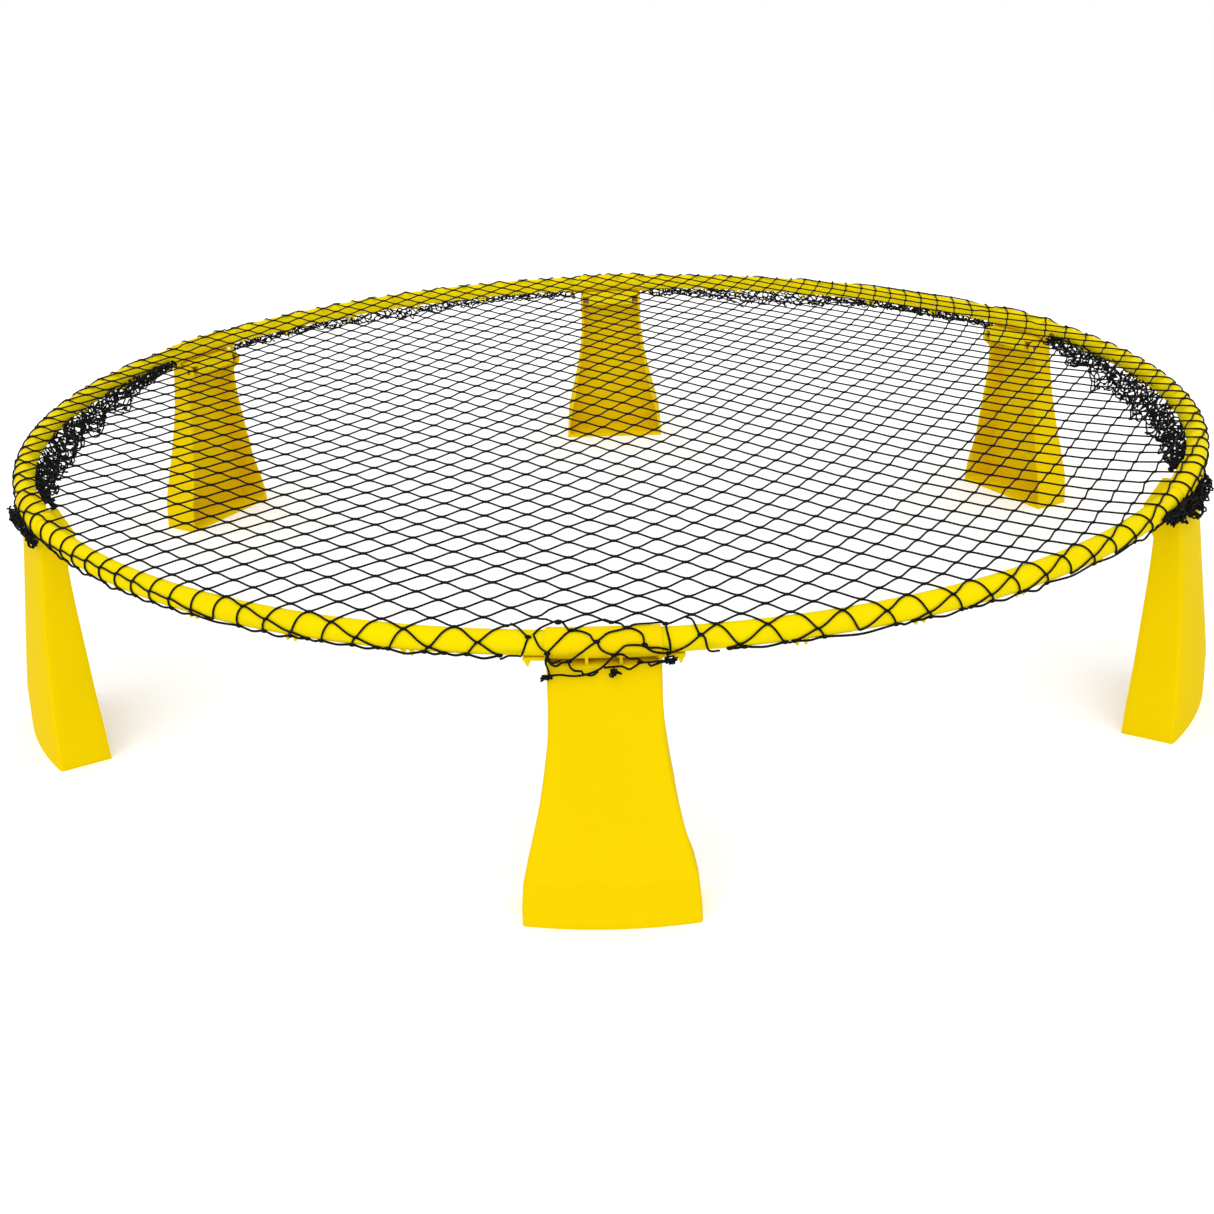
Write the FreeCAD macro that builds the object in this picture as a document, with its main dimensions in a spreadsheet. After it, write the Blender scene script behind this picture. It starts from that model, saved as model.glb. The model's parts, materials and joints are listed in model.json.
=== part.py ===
import FreeCAD, Part
import math
import os

# Roundnet set: a low round net on a ring of six tubes and six folding legs.
# Millimetres. The origin is on the floor under the centre of the ring, +Z is up,
# and leg 1 stands on the -Y side. Stations count anticlockwise seen from above.

os.makedirs("parts", exist_ok=True)
doc = FreeCAD.newDocument("roundnet_set")
V = FreeCAD.Vector
UP = V(0, 0, 1)

# Driving dimensions

SIZES = [
    ("rim_diameter", 914.4, "outside of the assembled ring"),
    ("rim_height", 169.5, "centre of the ring's tube above the floor"),
    ("tube_diameter", 14.3, "outside of a rim tube"),
    ("sleeve_wall", 1.4, "wall of the sleeve that joins two tubes"),
    ("sleeve_length", 63.4, "length of the sleeve along the ring"),
    ("sleeve_clearance", 0.15, "radial room between tube and sleeve"),
    ("sleeve_run_out", 2.0, "straight tube past the end of the sleeve"),
    ("tube_end_gap", 0.6, "gap between two tubes in mid sleeve"),
    ("tooth_width", 5.2, "net tooth along the ring"),
    ("tooth_height", 4.3, "net tooth below the tube"),
    ("tooth_thickness", 2.6, "net tooth across the ring"),
    ("tooth_tilt", 20.0, "lean of a net tooth outwards, in degrees"),
    ("tooth_distance", 110.7, "first pair of teeth, along the ring from its station"),
    ("tooth_spacing", 73.8, "from one pair of teeth to the next"),
    ("tongue_length", 16.0, "tongue that carries the tooth beside a leg"),
    ("tongue_root", 3.0, "part of the tongue that lies in the sleeve's wall"),
    ("tongue_width", 4.0, "tongue across the ring"),
    ("tongue_thickness", 2.0, "height of the tongue"),
    ("web_thickness", 3.0, "web that hangs under the sleeve"),
    ("web_setback", 1.5, "front of the web inside the tube's centre line"),
    ("web_top_drop", 5.0, "top of the web below the tube's centre, in the sleeve's wall"),
    ("rib_thickness", 1.8, "upright ribs in front of the web"),
    ("rib_setback", 0.6, "front of the ribs inside the outside of the ring"),
    ("rib_offset", 9.4, "inner ribs from the middle of the leg"),
    ("roof_thickness", 2.4, "plate over the hinge"),
    ("parting_gap", 0.3, "gap between the web and the top of the leg"),
    ("pivot_setback", 21.2, "hinge line inside the outside of the ring"),
    ("hinge_headroom", 2.3, "underside of the sleeve above the top of the leg"),
    ("ear_radius", 5.0, "rounded top of the leg's side walls, about the hinge"),
    ("pin_diameter", 4.0, "hinge pin"),
    ("pin_clearance", 0.07, "radial room around the pin"),
    ("pin_recess", 0.4, "pin end inside the leg's side"),
    ("knuckle_radius", 4.8, "hinge knuckle between the leg's side walls"),
    ("knuckle_width", 46.0, "knuckle along the pin"),
    ("leg_top_width", 63.6, "leg across its straight top"),
    ("leg_foot_width", 104.4, "leg across its foot"),
    ("leg_straight", 20.5, "height of the leg's straight top"),
    ("flare_height", 47.0, "height where the flare turns back"),
    ("foot_straight", 8.0, "height of the upright stretch at the foot"),
    ("leg_wall", 2.6, "wall of the leg"),
    ("floor_thickness", 3.0, "floor of the foot"),
    ("ledge_thickness", 2.5, "top plate of the leg"),
    ("ledge_depth", 14.0, "top plate from the face of the leg inwards"),
    ("foot_reach", 21.2, "front of the foot outside the ring"),
    ("band_reach", 19.7, "front of the leg outside the ring at the band's top"),
    ("band_height", 30.0, "height of the steeper band round the foot"),
    ("foot_depth", 38.7, "foot from front to back"),
    ("face_bow", 260.0, "radius of the leg's face seen from above"),
    ("cord_diameter", 1.4, "cord of the net"),
    ("net_clearance", 0.3, "gap between the net and what it lies on"),
    ("mesh_side", 78.0, "side of one square of the net, in the solid"),
    ("smallest_gap", 6.0, "a gap that the net's border would leave narrower stays closed"),
    ("border_width", 4.2, "border of the net, across"),
    ("loop_angle", 135.0, "turn of an edge loop about the tube from its top, in degrees"),
    ("bunch_thickness", 11.0, "gathered net inside the ring, at the sides"),
    ("back_bunch_thickness", 7.0, "gathered net inside the ring, at the back"),
    ("gather_thickness", 8.0, "gathered net outside the legs at the sides"),
    ("bunch_angle", 35.0, "how far below the tube's middle a bunch nestles, in degrees"),
]
STATIONS = 6
TUBE_BENDS = 7
TUBE_SIDES = 16
TOOTH_PAIRS = 4
LOOP_FACETS = 3
BUNCH_SIDES = 8
NET_TURN_DEG = 45
SPAN_DEG = 360 / STATIONS
BEND_DEG = SPAN_DEG / TUBE_BENDS
PAST = 10.0  # how far a cutting block runs past what it cuts

sheet = doc.addObject("Spreadsheet::Sheet", "Sizes")
for row, (alias, number, note) in enumerate(SIZES, start=1):
    sheet.set(f"A{row}", alias)
    sheet.set(f"B{row}", str(number))
    sheet.set(f"C{row}", note)
    sheet.setAlias(f"B{row}", alias)
doc.recompute()


def value(expression):
    """The number that an expression of the sheet's cells gives."""
    return float(sheet.evalExpression(expression))


# Places that several pieces share, as expressions of the driving dimensions

RIM_R = "Sizes.rim_diameter / 2"
TUBE_R = "Sizes.tube_diameter / 2"
RING_R = f"({RIM_R} - {TUBE_R})"
BORE_R = f"({TUBE_R} + Sizes.sleeve_clearance)"
SLEEVE_R = f"({BORE_R} + Sizes.sleeve_wall)"
HALF_SLEEVE = "Sizes.sleeve_length / 2"
HALF_TOP = "Sizes.leg_top_width / 2"
HALF_FOOT = "Sizes.leg_foot_width / 2"
PIVOT_R = f"({RIM_R} - Sizes.pivot_setback)"
LEG_TOP_Z = f"(Sizes.rim_height - {SLEEVE_R} - Sizes.hinge_headroom)"
PIVOT_Z = f"({LEG_TOP_Z} - Sizes.ear_radius)"
WEB_Z = f"({LEG_TOP_Z} + Sizes.parting_gap)"
WEB_FRONT_R = f"({RING_R} - Sizes.web_setback)"
RIB_FRONT_R = f"({RIM_R} - Sizes.rib_setback)"
INNER_HALF_TOP = f"({HALF_TOP} - Sizes.leg_wall)"
BORE_PIN_R = "(Sizes.pin_diameter / 2 + Sizes.pin_clearance)"
LOOP_R = f"({TUBE_R} + Sizes.net_clearance)"
LOOP_OUTER_R = f"({LOOP_R} + Sizes.cord_diameter)"
NET_Z = f"(Sizes.rim_height + max({SLEEVE_R}; {LOOP_OUTER_R}) + Sizes.net_clearance)"


def ring_degrees(length):
    """The angle that a length takes along the ring's centre line."""
    return math.degrees(value(length) / value(RING_R))


def bind(item, **expressions):
    """Tie an object's sizes and place to the sheet. Base_x stands for Placement.Base.x."""
    for name, expression in expressions.items():
        if name.startswith("Base_"):
            name = "Placement.Base." + name[-1]
        item.setExpression(name, expression)
    return item


def box(name, x0, x1, r0, r1, z0, z1):
    """A block at station 1, from radius r0 to r1, all six bounds being expressions."""
    item = doc.addObject("Part::Box", name)
    bind(item, Length=f"{x1} - ({x0})", Width=f"{r1} - ({r0})", Height=f"{z1} - ({z0})")
    return bind(item, Base_x=x0, Base_y=f"-({r1})", Base_z=z0)


def rod(name, radius, x0, x1, y, z):
    """A cylinder along X, at station 1, from x0 to x1."""
    item = doc.addObject("Part::Cylinder", name)
    item.Placement.Rotation = FreeCAD.Rotation(V(0, 1, 0), 90)
    bind(item, Radius=radius, Height=f"{x1} - ({x0})")
    return bind(item, Base_x=x0, Base_y=y, Base_z=z)


def cross_pin(name, radius, x0, x1):
    """A cylinder along the hinge line of station 1."""
    return rod(name, radius, x0, x1, f"-{PIVOT_R}", PIVOT_Z)


def tube_rod(name, radius, half_length):
    """A many-sided rod about the straight end of the rim tube at station 1, along X."""
    section = doc.addObject("Part::RegularPolygon", f"{name}_section")
    section.Polygon = TUBE_SIDES
    section.Placement.Rotation = FreeCAD.Rotation(V(0, 1, 0), 90)
    bind(section, Circumradius=radius, Base_x=f"-({half_length})")
    bind(section, Base_y=f"-{RING_R}", Base_z="Sizes.rim_height")
    item = doc.addObject("Part::Extrusion", name)
    item.Base = section
    item.DirMode = "Custom"
    item.Dir = V(1, 0, 0)
    item.Solid = True
    return bind(item, LengthFwd=f"2 * ({half_length})", LengthRev="0")


def fuse(name, items):
    item = doc.addObject("Part::MultiFuse", name)
    item.Shapes = items
    return item


def common(name, items):
    item = doc.addObject("Part::MultiCommon", name)
    item.Shapes = items
    return item


def cut(name, base, tool):
    item = doc.addObject("Part::Cut", name)
    item.Base = base
    item.Tool = tool
    return item


def made(name, shape):
    item = doc.addObject("Part::Feature", name)
    item.Shape = shape
    return item


def on_ring(deg, radius):
    """The point at an angle anticlockwise from station 1, on the floor."""
    turn = math.radians(deg)
    return V(radius * math.sin(turn), -radius * math.cos(turn), 0)


nodes = []


def node(name, master, turn_deg=0.0):
    """A sub-part: the master piece turned about the middle of the set."""
    item = doc.addObject("Part::Compound", name)
    item.Label = name
    item.Links = [master]
    item.Placement = FreeCAD.Placement(V(), FreeCAD.Rotation(UP, turn_deg))
    nodes.append(item)


# Net teeth: small pointed wedges under the tube

def tooth(name, deg, tilt_deg, root, tip):
    """A wedge that points down, its root and tip measured from the tube's centre."""
    item = doc.addObject("Part::Wedge", name)
    half = "Sizes.tooth_width / 2"
    thick = "Sizes.tooth_thickness / 2"
    bind(item, Xmin=f"-{half}", Xmax=half, X2min="0", X2max="0")
    bind(item, Zmin=f"-{thick}", Zmax=thick, Z2min=f"-{thick}", Z2max=thick)
    bind(item, Ymin=root, Ymax=tip)
    lean = FreeCAD.Rotation(V(1, 0, 0), -90 - tilt_deg)
    item.Placement.Rotation = FreeCAD.Rotation(UP, deg) * lean
    bind(item, Base_x=f"{RING_R} * sin({deg})", Base_y=f"-{RING_R} * cos({deg})")
    return bind(item, Base_z="Sizes.rim_height")


# Rim tube: straight at both ends, bent evenly between them, with pairs of teeth

def tube_corners():
    """The bends of a rim tube's centre line, from its end at station 1 to the next."""
    end_run = value(f"{HALF_SLEEVE} + Sizes.sleeve_run_out")
    ring = value(RING_R)
    span = math.radians(SPAN_DEG)
    bend = math.radians(BEND_DEG)
    reach = ring * math.sin(span) - end_run * (1 + math.cos(span))
    run = reach / sum(math.cos(k * bend) for k in range(1, TUBE_BENDS))
    corners = [V(end_run, -ring, value("Sizes.rim_height"))]
    for k in range(1, TUBE_BENDS):
        corners.append(corners[-1] + V(math.cos(k * bend), math.sin(k * bend), 0) * run)
    return corners


def rim_tube():
    half_gap = value("Sizes.tube_end_gap / 2")
    along = on_ring(SPAN_DEG + 90, 1)
    height = V(0, 0, value("Sizes.rim_height"))
    first = on_ring(0, value(RING_R)) + height + V(half_gap, 0, 0)
    last = on_ring(SPAN_DEG, value(RING_R)) + height - along * half_gap
    path = made("tube_path", Part.makePolygon([first] + tube_corners() + [last]))
    section = doc.addObject("Part::RegularPolygon", "tube_section")
    section.Polygon = TUBE_SIDES
    section.Placement.Rotation = FreeCAD.Rotation(V(0, 1, 0), 90)
    bind(section, Circumradius=TUBE_R, Base_x="Sizes.tube_end_gap / 2")
    bind(section, Base_y=f"-{RING_R}", Base_z="Sizes.rim_height")
    tube = doc.addObject("Part::Sweep", "tube_run")
    tube.Sections = [section]
    tube.Spine = (path, [])
    tube.Solid = True
    tube.Transition = "Right corner"
    pieces = [tube]
    tilt = value("Sizes.tooth_tilt")
    for i in range(TOOTH_PAIRS):
        middle = ring_degrees(f"Sizes.tooth_distance + {i} * Sizes.tooth_spacing")
        half_pair = ring_degrees("Sizes.tooth_width / 2")
        for side in (-1, 1):
            name = f"tooth_{i}_{'a' if side < 0 else 'b'}"
            deg = middle + side * half_pair
            pieces.append(tooth(name, deg, tilt, f"{TUBE_R} / 2", f"{TUBE_R} + Sizes.tooth_height"))
    return fuse("rim_tube", pieces)


# Leg socket: sleeve, web with ribs, hinge roof and knuckle, and a tooth on each side

def leg_socket():
    web_back = f"{WEB_FRONT_R} - Sizes.web_thickness"
    web_half = f"({INNER_HALF_TOP} - Sizes.parting_gap)"
    web_top = "Sizes.rim_height - Sizes.web_top_drop"
    pieces = [
        tube_rod("sleeve", SLEEVE_R, HALF_SLEEVE),
        box("web", f"-{web_half}", web_half, web_back, WEB_FRONT_R, WEB_Z, web_top),
    ]
    half_rib = "Sizes.rib_thickness / 2"
    end_rib = f"({HALF_TOP} - {half_rib})"
    for name, x in (("a", f"-{end_rib}"), ("b", "-Sizes.rib_offset"), ("c", "Sizes.rib_offset"), ("d", end_rib)):
        pieces.append(box(f"rib_{name}", f"{x} - {half_rib}", f"{x} + {half_rib}",
                          web_back, RIB_FRONT_R, WEB_Z, web_top))
    roof_z = f"({WEB_Z} + Sizes.parting_gap)"
    roof_top = f"({roof_z} + Sizes.roof_thickness)"
    knuckle_back = f"{PIVOT_R} - Sizes.knuckle_radius"
    knuckle_front = f"{PIVOT_R} + Sizes.knuckle_radius"
    half_knuckle = "Sizes.knuckle_width / 2"
    pieces += [
        box("roof", f"-{web_half}", web_half, knuckle_back, WEB_FRONT_R, roof_z, roof_top),
        box("knuckle_neck", f"-{half_knuckle}", half_knuckle, knuckle_back, knuckle_front, PIVOT_Z, roof_top),
        cross_pin("knuckle", "Sizes.knuckle_radius", f"-{half_knuckle}", half_knuckle),
    ]
    tongue_top = f"(Sizes.rim_height - {TUBE_R} - Sizes.net_clearance)"
    tongue_z = f"{tongue_top} - Sizes.tongue_thickness"
    half_width = "Sizes.tongue_width / 2"
    in_sleeve = f"({HALF_SLEEVE} - Sizes.tongue_root)"
    tip = f"({in_sleeve} + Sizes.tongue_length)"
    tooth_x = f"({tip} - Sizes.tooth_width / 2)"
    for side, x0, x1, x in (("left", f"-{tip}", f"-{in_sleeve}", f"-{tooth_x}"), ("right", in_sleeve, tip, tooth_x)):
        pieces.append(box(f"tongue_{side}", x0, x1, f"{RING_R} - {half_width}", f"{RING_R} + {half_width}",
                          tongue_z, tongue_top))
        side_tooth = tooth(f"side_tooth_{side}", 0, 0, f"{TUBE_R} + 2 * Sizes.net_clearance",
                           f"{TUBE_R} + Sizes.tongue_thickness + Sizes.tooth_height")
        pieces.append(bind(side_tooth, Base_x=x))
    body = fuse("socket_body", pieces)
    bores = fuse("socket_bores", [
        tube_rod("sleeve_bore", BORE_R, f"{HALF_SLEEVE} + {PAST}"),
        cross_pin("knuckle_bore", BORE_PIN_R, f"-{HALF_TOP}", HALF_TOP),
    ])
    return cut("leg_socket", body, bores)


# Leg: a splayed, flared shell, open at the back, hinged by its two side walls

def front_outline(inset, low, high):
    """The leg's flared outline from the front: two tangent arcs on each side."""
    top = value(HALF_TOP) - inset
    foot = value(HALF_FOOT) - inset
    z_foot = value("Sizes.foot_straight")
    z_turn = value("Sizes.flare_height")
    z_top = value(f"{LEG_TOP_Z} - Sizes.leg_straight")
    lean = 2 * math.atan((foot - top) / (z_top - z_foot))
    r_low = (z_turn - z_foot) / math.sin(lean)
    r_high = (z_top - z_turn) / math.sin(lean)
    half = lean / 2

    def side(sign):
        def at(x, z):
            return V(sign * x, 0, z)
        turn = at(foot - r_low * (1 - math.cos(lean)), z_turn)
        low_mid = at(foot - r_low * (1 - math.cos(half)), z_foot + r_low * math.sin(half))
        high_mid = at(top + r_high * (1 - math.cos(half)), z_top - r_high * math.sin(half))
        return [
            Part.LineSegment(at(foot, low), at(foot, z_foot)),
            Part.Arc(at(foot, z_foot), low_mid, turn),
            Part.Arc(turn, high_mid, at(top, z_top)),
            Part.LineSegment(at(top, z_top), at(top, high)),
        ]

    edges = side(1) + side(-1)
    edges.append(Part.LineSegment(V(-foot, 0, low), V(foot, 0, low)))
    edges.append(Part.LineSegment(V(-top, 0, high), V(top, 0, high)))
    return Part.Face(Part.Wire(Part.__sortEdges__([edge.toShape() for edge in edges])))


def side_outline():
    """The leg's outline from the side: its back edge and the round ear at the hinge."""
    ear = value("Sizes.ear_radius")
    pivot_r = value(PIVOT_R)
    pivot_z = value(PIVOT_Z)
    front = value(f"{RIM_R} + Sizes.foot_reach")
    heel = front - value("Sizes.foot_depth")
    away = math.hypot(heel - pivot_r, pivot_z)
    start = math.atan2(-pivot_z, heel - pivot_r) - math.acos(ear / away) + 2 * math.pi
    top = math.pi / 2
    middle = (start + top) / 2

    def at(radius, z):
        return V(0, -radius, z)

    def on_ear(angle):
        return at(pivot_r + ear * math.cos(angle), pivot_z + ear * math.sin(angle))
    past = front + PAST
    edges = [
        Part.makeLine(at(heel, 0), on_ear(start)),
        Part.Arc(on_ear(start), on_ear(middle), on_ear(top)).toShape(),
        Part.makeLine(on_ear(top), at(past, pivot_z + ear)),
        Part.makeLine(at(past, pivot_z + ear), at(past, 0)),
        Part.makeLine(at(past, 0), at(heel, 0)),
    ]
    return Part.Face(Part.Wire(edges))


def extruded(name, face, direction, length):
    profile = made(f"{name}_profile", face)
    item = doc.addObject("Part::Extrusion", name)
    item.Base = profile
    item.DirMode = "Custom"
    item.Dir = direction
    item.Solid = True
    return bind(item, LengthFwd=length, LengthRev="0")


def face_cylinder(name, inset, low, high):
    """A cylinder that leans with the face: its front runs from low to high, (radius, height) each."""
    lean = math.atan2(low[0] - high[0], high[1] - low[1])
    bow = value("Sizes.face_bow")
    along = V(0, math.sin(lean), math.cos(lean))
    inwards = V(0, math.cos(lean), -math.sin(lean))
    below = (low[1] + PAST) / math.cos(lean)
    item = doc.addObject("Part::Cylinder", name)
    start = V(0, -low[0], low[1]) + inwards * bow - along * below
    item.Placement = FreeCAD.Placement(start, FreeCAD.Rotation(V(1, 0, 0), -math.degrees(lean)))
    return bind(item, Radius=f"Sizes.face_bow - {inset}", Height=f"2 * {LEG_TOP_Z}")


def leg_block(name, inset, low, high):
    """What bounds the leg in front and at its sides, or with an inset the space inside it."""
    front = front_outline(inset, low, high)
    front.translate(V(0, -value(f"{RIM_R} + Sizes.foot_reach + {PAST}"), 0))
    foot = (value(f"{RIM_R} + Sizes.foot_reach"), 0)
    band = (value(f"{RIM_R} + Sizes.band_reach"), value("Sizes.band_height"))
    top = (value(RIM_R), value(LEG_TOP_Z))
    return [
        extruded(f"{name}_width", front, V(0, 1, 0), f"Sizes.foot_reach + 2 * Sizes.foot_depth + {PAST}"),
        face_cylinder(f"{name}_splay", inset, band, top),
        face_cylinder(f"{name}_band", inset, foot, band),
    ]


def leg():
    top = value(LEG_TOP_Z)
    side = side_outline()
    side.translate(V(-value("Sizes.leg_foot_width"), 0, 0))
    profile = extruded("outer_side", side, V(1, 0, 0), "2 * Sizes.leg_foot_width")
    outside = common("outer_block", leg_block("outer", 0, 0, top) + [profile])
    wall = value("Sizes.leg_wall")
    inside = common("inner_block", leg_block("inner", wall, value("Sizes.floor_thickness"),
                                             top - value("Sizes.ledge_thickness")))
    mouth = box("hinge_mouth", f"-{INNER_HALF_TOP}", INNER_HALF_TOP, f"{PIVOT_R} - Sizes.ear_radius - {PAST}",
                f"{RIM_R} - Sizes.ledge_depth", PIVOT_Z, f"{LEG_TOP_Z} + {PAST}")
    shell = cut("leg_shell", outside, fuse("leg_hollow", [inside, mouth]))
    bore = cross_pin("leg_bore", BORE_PIN_R, f"-{HALF_TOP} - {PAST}", f"{HALF_TOP} + {PAST}")
    return cut("leg", shell, bore)


# Net: a flat bed of square mesh turned on its corners, in one piece with its border

def net_bed():
    side = value("Sizes.mesh_side")
    cord = value("Sizes.cord_diameter")
    smallest = value("Sizes.smallest_gap")
    height = value(NET_Z)
    rim = value(RING_R)
    border = rim - value("Sizes.border_width")
    sheet_face = Part.Face(Part.Wire(Part.makeCircle(rim, V(0, 0, height))))
    reach = int(rim / side) + 1
    half = (side - cord) / 2
    holes = []
    inside = Part.Face(Part.Wire(Part.makeCircle(border, V(0, 0, height))))
    for i in range(-reach, reach + 1):
        for j in range(-reach, reach + 1):
            x = i * side
            y = j * side
            nearest = math.hypot(max(abs(x) - half, 0), max(abs(y) - half, 0))
            farthest = math.hypot(abs(x) + half, abs(y) + half)
            if nearest > border - smallest:
                continue
            corners = [V(x + a * half, y + b * half, height) for a, b in ((-1, -1), (1, -1), (1, 1), (-1, 1))]
            hole = Part.Face(Part.makePolygon(corners + corners[:1]))
            if farthest > border:
                hole = hole.common(inside).Faces[0]
            holes.append(hole)
    print("net gaps", len(holes))
    mesh = sheet_face.cut(Part.makeCompound(holes))
    mesh.rotate(V(0, 0, 0), UP, NET_TURN_DEG)
    return extruded("net_mesh", mesh.Faces[0], UP, "Sizes.cord_diameter")


def faceted(name, rings):
    """A closed solid through rings of as many points, with a flat facet between each three."""
    faces = [Part.Face(Part.makePolygon(ring + ring[:1])) for ring in (rings[0], rings[-1])]
    for ring, after in zip(rings, rings[1:]):
        for k in range(len(ring)):
            a, b = ring[k - 1], ring[k]
            c, d = after[k], after[k - 1]
            for corners in ([a, b, c], [a, c, d]):
                faces.append(Part.Face(Part.makePolygon(corners + corners[:1])))
    return made(name, Part.Solid(Part.Shell(faces)))


# Net edge: loops that pass over the tube to a lacing cord along its outer underside

def loop_profile():
    """Half a loop's faceted band about the origin, from the tube's top round its outside."""
    step = math.radians(value("Sizes.loop_angle")) / LOOP_FACETS

    def band_edge(radius):
        points = [V(0, 0, radius)]
        for k in range(LOOP_FACETS):
            angle = (k + 0.5) * step
            corner = radius / math.cos(step / 2)
            points.append(V(0, -corner * math.sin(angle), corner * math.cos(angle)))
        end = LOOP_FACETS * step
        points.append(V(0, -radius * math.sin(end), radius * math.cos(end)))
        return points
    outline = band_edge(value(LOOP_OUTER_R)) + band_edge(value(LOOP_R))[::-1]
    return Part.Face(Part.makePolygon(outline + outline[:1]))


def net_edge():
    """A loop in the middle of each bent run of a tube, and the cord that joins them."""
    corners = tube_corners()
    middles = [(a + b) / 2 for a, b in zip(corners, corners[1:])]
    half_cord = value("Sizes.cord_diameter / 2")
    pieces = []
    for k, middle in enumerate(middles, start=1):
        deg = k * BEND_DEG
        along = on_ring(deg + 90, 1)
        band = loop_profile()
        band.Placement = FreeCAD.Placement(middle - along * half_cord, FreeCAD.Rotation(UP, deg))
        pieces.append(extruded(f"loop_{k}", band, along, "Sizes.cord_diameter"))
    away = value(LOOP_R) + half_cord
    turn = math.radians(value("Sizes.loop_angle"))
    beside = away * math.sin(turn)
    above = away * math.cos(turn)
    rings = []
    for i, corner in enumerate(middles[:1] + corners[1:-1] + middles[-1:]):
        deg = min(max(i + 0.5, 1), TUBE_BENDS - 1) * BEND_DEG
        widen = 1 if corner in middles else 1 / math.cos(math.radians(BEND_DEG / 2))
        points = []
        for out, up in ((-half_cord, 0), (0, -half_cord), (half_cord, 0), (0, half_cord)):
            points.append(corner + on_ring(deg, (beside + out) * widen) + V(0, 0, above + up))
        rings.append(points)
    pieces.append(faceted("lacing_cord", rings))
    return fuse("net_edge", pieces)


# Gathered net: soft lumps where the spare mesh is bunched up, uneven along their length

def lump(name, centres, facing_degs, thickness, swell):
    """A lump through the given centres; swell lists its thickness there, as shares."""
    rings = []
    for centre, deg, share in zip(centres, facing_degs, swell):
        half = value(thickness) / 2 * share
        points = []
        for k in range(BUNCH_SIDES):
            angle = 2 * math.pi * (k + 0.5) / BUNCH_SIDES
            points.append(centre + on_ring(deg, half * math.cos(angle)) + V(0, 0, half * math.sin(angle)))
        rings.append(points)
    return faceted(name, rings)


def bunch(name, station, thickness, swell):
    """A lump along the inside of a rim tube, below its middle, from one leg to the next."""
    slope = math.radians(value("Sizes.bunch_angle"))
    away = value(f"{TUBE_R} + Sizes.net_clearance + {thickness} / 2")
    radius = value(RING_R) - away * math.cos(slope)
    height = V(0, 0, value("Sizes.rim_height") - away * math.sin(slope))
    clear = ring_degrees(f"{HALF_TOP} + Sizes.tongue_length")
    start = station * SPAN_DEG + clear
    step = (SPAN_DEG - 2 * clear) / (len(swell) - 1)
    degs = [start + i * step for i in range(len(swell))]
    return lump(name, [on_ring(deg, radius) + height for deg in degs], degs, thickness, swell)


def gather(name, station, swell):
    """A straight lump outside the ring, across the top of a leg."""
    deg = station * SPAN_DEG
    away = value(f"{RIM_R} + 2 * Sizes.net_clearance + Sizes.gather_thickness / 2")
    middle = on_ring(deg, away) + V(0, 0, value(f"{LEG_TOP_Z} + Sizes.net_clearance"))
    along = on_ring(deg + 90, 1)
    half = value(HALF_TOP)
    shares = [2 * i / (len(swell) - 1) - 1 for i in range(len(swell))]
    centres = [middle + along * half * share for share in shares]
    return lump(name, centres, [deg] * len(swell), "Sizes.gather_thickness", swell)


SIDE_SWELL = (0.35, 0.7, 1.0, 0.8, 0.95, 0.7, 0.9, 1.0, 0.75, 0.4)
BACK_SWELL = (0.4, 0.8, 1.0, 0.7, 0.9, 0.6, 1.0, 0.5)
GATHER_SWELL = (0.4, 0.9, 0.7, 1.0, 0.8, 0.95, 0.5)


tube_master = rim_tube()
tube_mirror = doc.addObject("Part::Mirroring", "rim_tube_mirror")
tube_mirror.Source = tube_master
tube_mirror.Normal = on_ring(SPAN_DEG + 90, 1)
tube_nodes = [tube_master, tube_mirror]
socket_master = leg_socket()
pin_half = f"({HALF_TOP} - Sizes.pin_recess)"
pin_master = cross_pin("pin", "Sizes.pin_diameter / 2", f"-{pin_half}", pin_half)
leg_master = leg()
edge_master = net_edge()
for k in range(STATIONS):
    number = k + 1
    node(f"rim_tube_{number}", tube_nodes[k % 2], (k - k % 2) * SPAN_DEG)
    node(f"leg_socket_{number}", socket_master, k * SPAN_DEG)
    node(f"hinge_pin_{number}", pin_master, k * SPAN_DEG)
    node(f"leg_{number}", leg_master, k * SPAN_DEG)
    node(f"net_edge_{number}", edge_master, k * SPAN_DEG)
node("net_bed", net_bed())
for side, station in (("right", 1), ("left", 4)):
    node(f"net_bunch_{side}", bunch(f"bunch_{side}", station, "Sizes.bunch_thickness", SIDE_SWELL))
for side, station in (("back_right", 2), ("back_left", 3)):
    node(f"net_bunch_{side}", bunch(f"bunch_{side}", station, "Sizes.back_bunch_thickness", BACK_SWELL))
for side, station in (("right", 1), ("left", 5)):
    node(f"net_gather_{side}", gather(f"gather_{side}", station, GATHER_SWELL))

doc.recompute()

# Checks before anything is written

for item in doc.Objects:
    if "Invalid" in item.State or "Error" in item.State:
        raise SystemExit(f"{item.Name} failed: {item.State}")
for item in nodes:
    shape = item.Shape
    if shape.isNull() or not shape.isValid() or not shape.Solids:
        raise SystemExit(f"{item.Label} has no valid solid")

for item in nodes:
    item.Shape.exportStep(f"parts/{item.Label}.step")
print("sub-parts written:", len(nodes))
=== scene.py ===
import json
import math
import random

import bmesh
import bpy
import numpy as np
from mathutils import Matrix, Vector, noise


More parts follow.
